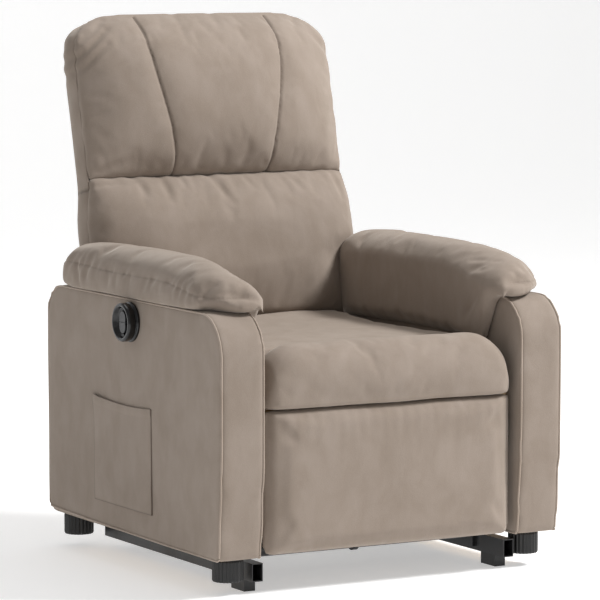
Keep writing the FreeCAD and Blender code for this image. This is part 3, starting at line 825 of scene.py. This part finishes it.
def pocket_place(a, b, c):
    y = pocket_low.y + (a + 1) / 2 * (pocket_high.y - pocket_low.y)
    z = pocket_low.z + (c + 1) / 2 * (pocket_mouth(-a) - pocket_low.z)
    open_end = smooth_step(0.2, 1.0, a) * smooth_step(0.4, 1.0, c)
    slack = (1 - abs(a) ** 6) * (1 - max(0.0, -c) ** 8)
    out = 0.0035 + 0.0022 * slack + 0.003 * open_end
    out += 0.0012 * smooth_step(0.86, 0.9, c) + 0.0007 * rumple((y, 0, z), 0.05, 21)
    stitches = math.exp(-(((c - 0.88) / 0.012) ** 2)) + math.exp(-(((abs(a) - 0.965) / 0.008) ** 2))
    out -= 0.0008 * min(1.0, stitches)
    return Vector((pocket_high.x - out + (b + 1) / 2 * 0.0024, y, z))


pocket = mapped_block(38, pocket_place)
bmesh.ops.recalc_face_normals(pocket, faces=pocket.faces)


def from_pocket_edge(place):
    front = abs(place.y - pocket_low.y)
    rear = abs(place.y - pocket_high.y)
    return min(front, rear, abs(place.z - pocket_low.z))


# Painted shade along the three sewn edges; they are not sunk.
sew(pocket, from_pocket_edge, 0.003, 0.0)
finished("storage_pocket_pouch", pocket, "chassis", ["storage_pocket"])


# --- Hand control -------------------------------------------------------------------------------------
# A round black housing let into the left arm, with a gloss ring, a dished face and two keys in an
# upright oval.
gloss_black = moulded_plastic("gloss_black", (0.003, 0.0034, 0.004, 1), (0.006, 0.0065, 0.007, 1), 0.14)
key_grey = moulded_plastic("key_grey", (0.014, 0.015, 0.017, 1), (0.022, 0.023, 0.026, 1), 0.28)
puck_low, puck_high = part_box("control_housing")
PUCK = (puck_low + puck_high) / 2


def turned(profile, steps):
    """A shape turned about the hand control's axis, from points of (x, radius)."""
    form = bmesh.new()
    line = [form.verts.new((x, PUCK.y, PUCK.z + radius)) for x, radius in profile]
    edges = [form.edges.new(pair) for pair in zip(line, line[1:])]
    bmesh.ops.spin(
        form, geom=line + edges, cent=(0, PUCK.y, PUCK.z), axis=(1, 0, 0), dvec=(0, 0, 0),
        angle=2 * math.pi, steps=steps, use_merge=True
    )
    bmesh.ops.remove_doubles(form, verts=form.verts, dist=1e-6)
    bmesh.ops.recalc_face_normals(form, faces=form.faces)
    return form


face, rim = puck_high.x, puck_low.x
ring = [
    (face, 0.0), (face, 0.0385), (face - 0.0015, 0.04), (face - 0.0055, 0.04), (face - 0.007, 0.0385),
    (face - 0.007, 0.0365), (face - 0.010, 0.0365), (face - 0.010, 0.0375), (face - 0.0115, 0.0385),
    (rim + 0.0035, 0.0385), (rim + 0.001, 0.0375), (rim, 0.0355), (rim, 0.0325), (rim + 0.001, 0.031),
    (rim + 0.0065, 0.0295), (rim + 0.008, 0.028),
]
WELL_RADIUS = 0.013
WELL_RISE = 0.009
WELL_DEPTH = 0.0085
housing = turned(ring, 72)
bowl = [e for e in housing.edges if e.is_boundary and max(v.co.x for v in e.verts) < rim + 0.0081]
inner = bmesh.ops.extrude_edge_only(housing, edges=bowl)
oval = [g for g in inner["geom"] if isinstance(g, bmesh.types.BMVert)]
for corner in oval:
    y, z = corner.co.y - PUCK.y, corner.co.z - PUCK.z
    turn = math.atan2(z, y)
    straight = math.copysign(min(1.0, abs(math.sin(turn)) * 3), z)
    corner.co.y = PUCK.y + WELL_RADIUS * math.cos(turn)
    corner.co.z = PUCK.z + WELL_RISE * straight + WELL_RADIUS * math.sin(turn)
floor_edges = [g for g in inner["geom"] if isinstance(g, bmesh.types.BMEdge)]
sunk = bmesh.ops.extrude_edge_only(housing, edges=floor_edges)
well = [g for g in sunk["geom"] if isinstance(g, bmesh.types.BMVert)]
bmesh.ops.translate(housing, verts=well, vec=(WELL_DEPTH, 0, 0))
bmesh.ops.contextual_create(housing, geom=[g for g in sunk["geom"] if isinstance(g, bmesh.types.BMEdge)])
bmesh.ops.recalc_face_normals(housing, faces=housing.faces)
made_of = {"slot": "control_plastic", "material": gloss_black}
finished("control_housing_shell", housing, "chassis", ["control_housing"], levels=0, **made_of)
paint(key_grey, "control_button_up", "control_button_down")


# --- Back frame ---------------------------------------------------------------------------------------
# A softwood ladder frame that turns on steel plates, with elastic webbing stretched across it.
WEAVE_PITCH = 2200.0


def elastic_webbing():
    """Black elastic webbing, woven plain with a ribbed face."""
    finish = Finish("elastic_webbing", 0.8)
    across = finish.start.node("SeparateXYZ", {}, {0: finish.place}, "X")
    rise = finish.start.node("SeparateXYZ", {}, {0: finish.place}, "Z")
    warp = finish.start.node("Math", {"operation": "SINE"}, {0: across * WEAVE_PITCH})
    weft = finish.start.node("Math", {"operation": "SINE"}, {0: rise * WEAVE_PITCH})
    weave = 0.5 + 0.25 * warp + 0.25 * weft
    tone = 0.7 * weave + 0.3 * finish.grain(40)
    finish.set("Base Color", tone.mix((0.012, 0.012, 0.012, 1), (0.06, 0.058, 0.055, 1)))
    finish.relief(weave, 0.0008, 0.8)
    return finish.material


paint(wood, "back_frame")
paint(black_coat, "back_brackets")
paint(elastic_webbing(), "back_webbing")


# --- Back cushions ------------------------------------------------------------------------------------
# Two fibre-filled cushions share the back. The lower one is plain. The upper one is fuller, and two
# seams that draw together downwards divide it into three panels. Both are gathered into the seam
# between them.
BACK_LEAN = math.radians(13.66)
BACK_FOOT = Vector((0, 0.224, 0.509))
lean_back = Matrix.Translation(BACK_FOOT) @ Matrix.Rotation(-BACK_LEAN, 4, "X")
upright = lean_back.inverted()
BACK_SEAM = 0.254
CROWN = 0.598
BACK_BOTTOM = -0.044
FULLEST = 0.44
BEHIND_SEAM = 0.012


def back_edge(up):
    """Half the back's width at a height up its own plane."""
    half = 0.276 + 0.038 * smooth_step(0.055, 0.105, up)
    half -= 0.012 * smooth_step(0.15, 0.26, up)
    return half - rounded(up - CROWN + 0.082, 0.082)


def tucked_edge(up, b):
    """Half a cushion's width: it reaches the edge in front and tucks inside the gusset behind."""
    return back_edge(up) - 0.001 - 0.007 * smooth_step(0.3, 0.9, b)


def head_fullness(up):
    """How far the upper cushion stands out, low above its lower seam and rounder towards its top."""
    reach, power = (0.170, 0.8) if up > FULLEST else (0.186, 0.45)
    share = min(1.0, abs(up - FULLEST) / reach)
    return 0.074 * (1 - share ** 2.2) ** power


def head_seam(up):
    """Where the upper cushion's two long seams run, from the middle."""
    return 0.112 + 0.043 * smooth_step(BACK_SEAM - 0.02, CROWN - 0.06, up)


def head_place(a, b, c):
    up = BACK_SEAM - 0.003 + (c + 1) / 2 * (CROWN + 0.007 - BACK_SEAM)
    x = a * tucked_edge(min(up, CROWN), b)
    seam = math.exp(-(((abs(x) - head_seam(up)) / 0.016) ** 2))
    across = (1 - abs(a) ** 2.3) ** 0.72
    over_top = smooth_step(0.53, CROWN, up)
    front = 0.018 * over_top - 0.008 - head_fullness(up) * across * (1 - 0.05 * seam)
    rear = BEHIND_SEAM + 0.014 * over_top
    return lean_back @ Vector((x, front + (b + 1) / 2 * (rear - front), up))


def head_held(place):
    spot = upright @ place
    behind = smooth_step(-0.006, 0.000, spot.y)
    rim = smooth_step(0.012, 0.004, back_edge(spot.z) - abs(spot.x))
    ends = smooth_step(0.010, 0.003, min(spot.z - BACK_SEAM, CROWN - spot.z))
    seam = 0.25 * smooth_step(0.010, 0.003, abs(abs(spot.x) - head_seam(spot.z)))
    return max(behind, rim, ends, seam)


# Each fold runs from one (across, up) on the back's plane to another. Its half width and depth follow.
HEAD_FOLDS = [
    ((-0.308, 0.500), (-0.232, 0.566), 0.010, 0.007),
    ((-0.310, 0.470), (-0.240, 0.530), 0.009, 0.005),
    ((-0.296, 0.532), (-0.226, 0.588), 0.008, 0.005),
    ((0.300, 0.500), (0.250, 0.548), 0.011, 0.003),
    ((-0.302, 0.262), (-0.215, 0.285), 0.010, 0.0025),
    ((-0.060, 0.600), (-0.066, 0.560), 0.012, 0.003),
    ((0.030, 0.600), (0.022, 0.560), 0.014, 0.003),
    ((0.232, 0.596), (0.214, 0.560), 0.012, 0.003),
]


def folds_on_back(spot, folds):
    """How deep the listed folds are at a spot."""
    flat = Vector((spot.x, 0, spot.z))
    return sum(
        sink * fold(flat, Vector((start[0], 0, start[1])), Vector((end[0], 0, end[1])), width)
        for start, end, width, sink in folds
    )


def head_folds(place, out):
    """Gathers along the lower seam, pulls at the upper corners and slack in the panels."""
    spot = upright @ place
    above = max(0.0, spot.z - BACK_SEAM)
    gathers = math.exp(-above / 0.028) * math.sin(spot.x * 150 + 4 * rumple(spot, 0.09, 31))
    edge = back_edge(spot.z) - abs(spot.x)
    side = math.exp(-edge / 0.03) * math.sin(spot.z * 95 + 3 * rumple(spot, 0.1, 33))
    depth = 0.0007 * gathers + 0.0008 * side - folds_on_back(spot, HEAD_FOLDS)
    slack = 0.0020 * rumple(spot, 0.14, 34) + 0.0008 * rumple(spot, 0.05, 35)
    return depth + slack * max(0.0, -out.y)


FIBRE_PRESSURE = 4.5
head = even_skin(mapped_block(34, head_place), SKIN)
head = swell(head, head_held, FIBRE_PRESSURE, 0.018, 0.012)
dent(head, head_folds)


def from_head_seam(place):
    spot = upright @ place
    if spot.y > -0.004:
        return 1.0
    return abs(abs(spot.x) - head_seam(spot.z))


sew(head, from_head_seam, 0.0030, 0.0034)
finished("back_cushion_upper_cover", head, "backrest", ["back_cushion_upper"], fill=0.7)


def lumbar_width(up):
    """Half the width of the lower cushion's front. Low down it fits between the arm pads."""
    return 0.272 + 0.040 * smooth_step(0.060, 0.11, up) - 0.010 * smooth_step(0.17, 0.26, up)


def lumbar_place(a, b, c):
    up = BACK_BOTTOM - 0.012 + (c + 1) / 2 * (BACK_SEAM + 0.015 - BACK_BOTTOM)
    x = a * tucked_edge(up, b)
    share = min(1.0, abs(up - 0.10) / 0.156)
    body = 0.046 * (1 - share ** 4) ** 0.5
    across = max(0.0, 1 - min(1.0, abs(x) / lumbar_width(up)) ** 5) ** 0.55
    front = -(0.007 + body * across)
    return lean_back @ Vector((x, front + (b + 1) / 2 * (BEHIND_SEAM - front), up))


def lumbar_held(place):
    spot = upright @ place
    behind = smooth_step(-0.008, -0.002, spot.y)
    rim = smooth_step(-0.012, -0.002, abs(spot.x) - lumbar_width(spot.z))
    between_arms = 0.7 * smooth_step(0.10, 0.08, spot.z) * smooth_step(0.235, 0.255, abs(spot.x))
    ends = smooth_step(0.010, 0.003, min(spot.z - BACK_BOTTOM, BACK_SEAM - spot.z))
    return max(behind, rim, ends, between_arms)


LUMBAR_FOLDS = [
    ((-0.312, 0.236), (-0.215, 0.243), 0.008, 0.004),
    ((-0.205, 0.254), (-0.190, 0.212), 0.010, 0.003),
    ((-0.142, 0.254), (-0.136, 0.196), 0.010, 0.004),
    ((-0.100, 0.254), (-0.090, 0.220), 0.008, 0.0025),
    ((-0.030, 0.254), (0.004, 0.186), 0.011, 0.004),
    ((0.046, 0.254), (0.066, 0.216), 0.009, 0.0025),
    ((0.150, 0.254), (0.176, 0.212), 0.010, 0.003),
    ((0.262, 0.250), (0.280, 0.190), 0.010, 0.003),
]


def lumbar_folds(place, out):
    """Short folds below the seam that joins it to the head cushion, and a little slack."""
    spot = upright @ place
    below = max(0.0, BACK_SEAM - spot.z)
    depth = 0.0010 * math.exp(-below / 0.03) * math.sin(spot.x * 130 + 4 * rumple(spot, 0.1, 41))
    depth -= folds_on_back(spot, LUMBAR_FOLDS)
    slack = 0.0020 * rumple(spot, 0.15, 42) + 0.0008 * rumple((spot.x, spot.y, spot.z * 0.35), 0.05, 43)
    return depth + slack * max(0.0, -out.y)


lumbar = even_skin(mapped_block(32, lumbar_place), SKIN)
lumbar = swell(lumbar, lumbar_held, FIBRE_PRESSURE, 0.012, 0.012)
dent(lumbar, lumbar_folds)
finished("back_cushion_lower_cover", lumbar, "backrest", ["back_cushion_lower"], fill=0.7)


# --- Back shell -----------------------------------------------------------------------------------------
# A padded gusset runs round the sides and top of the back, and a plain panel closes it behind. Both
# are sewn to the cushions' edge and stapled to the frame below.
GUSSET = 0.050
BACK_DEEP = 0.105
REAR_MIDDLE = 0.27
REAR_HALF_WIDTH = 0.27
REAR_HALF_HEIGHT = 0.31
CROSS_SEAM = 0.232


def shell_place(a, b, c):
    """The whole back behind its cushions, from the gusset's front seam to the rear panel."""
    deep = -0.014 + (b + 1) / 2 * (BACK_DEEP + 0.011)
    inset = 0.030 * smooth_step(GUSSET - 0.004, BACK_DEEP, deep)
    up = BACK_BOTTOM + 0.002 + (c + 1) / 2 * (CROWN - inset - 0.004 - BACK_BOTTOM)
    half = back_edge(up + inset) - inset - 0.002
    return lean_back @ Vector((a * half, deep, up))


def shell_swelling(place, out):
    """The gusset is full between its seams, drawn in at each, and the rear panel is crowned."""
    spot = upright @ place
    facing = upright.to_3x3() @ out
    side = math.sqrt(max(0.0, 1 - facing.y ** 2))
    band = min(1.0, max(0.0, spot.y / GUSSET))
    plump = math.sin(math.pi * band) ** 0.7 * side
    top = max(0.0, facing.z) ** 2
    full = (0.004 + 0.007 * smooth_step(0.42, 0.52, spot.z)) * plump * (1 - top)
    full -= 0.013 * top * smooth_step(0.044, 0.022, spot.y)
    scallops = 0.0020 * plump * math.sin(spot.z * 70 + 4 * rumple(spot, 0.13, 51))
    full -= folds_on_back(spot, HEAD_FOLDS[:3])
    x = spot.x / REAR_HALF_WIDTH
    z = (spot.z - REAR_MIDDLE) / REAR_HALF_HEIGHT
    crown = 0.006 * max(0.0, (1 - x ** 4) * (1 - z ** 4)) * (1 - side)
    return full + scallops + crown + 0.0012 * rumple(place, 0.11, 52)


def from_cross_seam(place):
    """The gusset is pieced just below the seam between the cushions."""
    spot = upright @ place
    return abs(spot.z - CROSS_SEAM) if abs(spot.x) > 0.24 and spot.y < GUSSET else 1.0


shell = even_skin(mapped_block(36, shell_place), 0.0085, 2)
dent(shell, shell_swelling)
sew(shell, from_cross_seam, 0.005, 0.002)
rear_seam = (0, GUSSET, REAR_MIDDLE)
for name, cuts, node in (
    ("back_gusset_cover", [
        (rear_seam, (0, 1, 0)),
        ((0, -0.001, REAR_MIDDLE), (0, -1, 0)),
        ((0, 0, BACK_BOTTOM + 0.006), (0, 0, -1)),
    ], "back_gusset"),
    ("back_rear_cover", [(rear_seam, (0, -1, 0))], "back_rear_panel"),
):
    turn = lean_back.to_3x3()
    planes = [(lean_back @ Vector(place), turn @ Vector(way)) for place, way in cuts]
    thicken(finished(name, trimmed(shell, planes), "backrest", [node]))
shell.free()


# --- Footrest --------------------------------------------------------------------------------------------
# Black scissor links carry a plywood board. Its foam is covered in the same cloth, wrapped over the
# edges and gathered into a seam along the top.
paint(black_coat, "leg_rear_links", "leg_front_links", "legrest_cross_tube", "footrest_brackets")
paint(wood, "footrest_board")
rest_low, rest_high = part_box("footrest_cushion")
BOARD_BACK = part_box("footrest_board")[1].y


def footrest_place(a, b, c):
    half = rest_high.x - 0.003
    x = a * half
    z = rest_low.z - 0.002 + (c + 1) / 2 * (rest_high.z + 0.005 - rest_low.z)
    ease = rounded(abs(x) - half + 0.026, 0.026) + 0.6 * rounded(rest_low.z + 0.02 - z, 0.02)
    ease += 0.3 * rounded(z - rest_high.z + 0.010, 0.010)
    front = rest_low.y + 0.008 + ease
    return Vector((x, front + (b + 1) / 2 * (BOARD_BACK - 0.002 - front), z))


def footrest_held(place):
    return smooth_step(rest_high.y - 0.006, rest_high.y + 0.004, place.y)


def footrest_gathers(place, out):
    below = max(0.0, rest_high.z - place.z)
    forward = max(0.0, -out.y)
    wander = 5 * rumple((place.x, 0, 0), 0.08, 61)
    gathers = math.exp(-((below / 0.05) ** 1.5)) * math.sin(place.x * 260 + wander)
    rim = rest_high.x - abs(place.x)
    puckers = math.exp(-rim / 0.03) * math.sin(place.z * 130 + 4 * rumple((0, 0, place.z), 0.07, 62))
    slack = 0.0016 * rumple(place, 0.15, 63) + 0.0005 * rumple(place, 0.05, 64)
    return (0.0006 * gathers + 0.0004 * puckers + slack) * forward


footrest = even_skin(mapped_block(32, footrest_place), SKIN, 2)
footrest = swell(footrest, footrest_held, FOAM_PRESSURE, 0.004, 0.0)
dent(footrest, footrest_gathers)
finished("footrest_cushion_cover", footrest, "footrest", ["footrest_cushion"], fill=0.8)
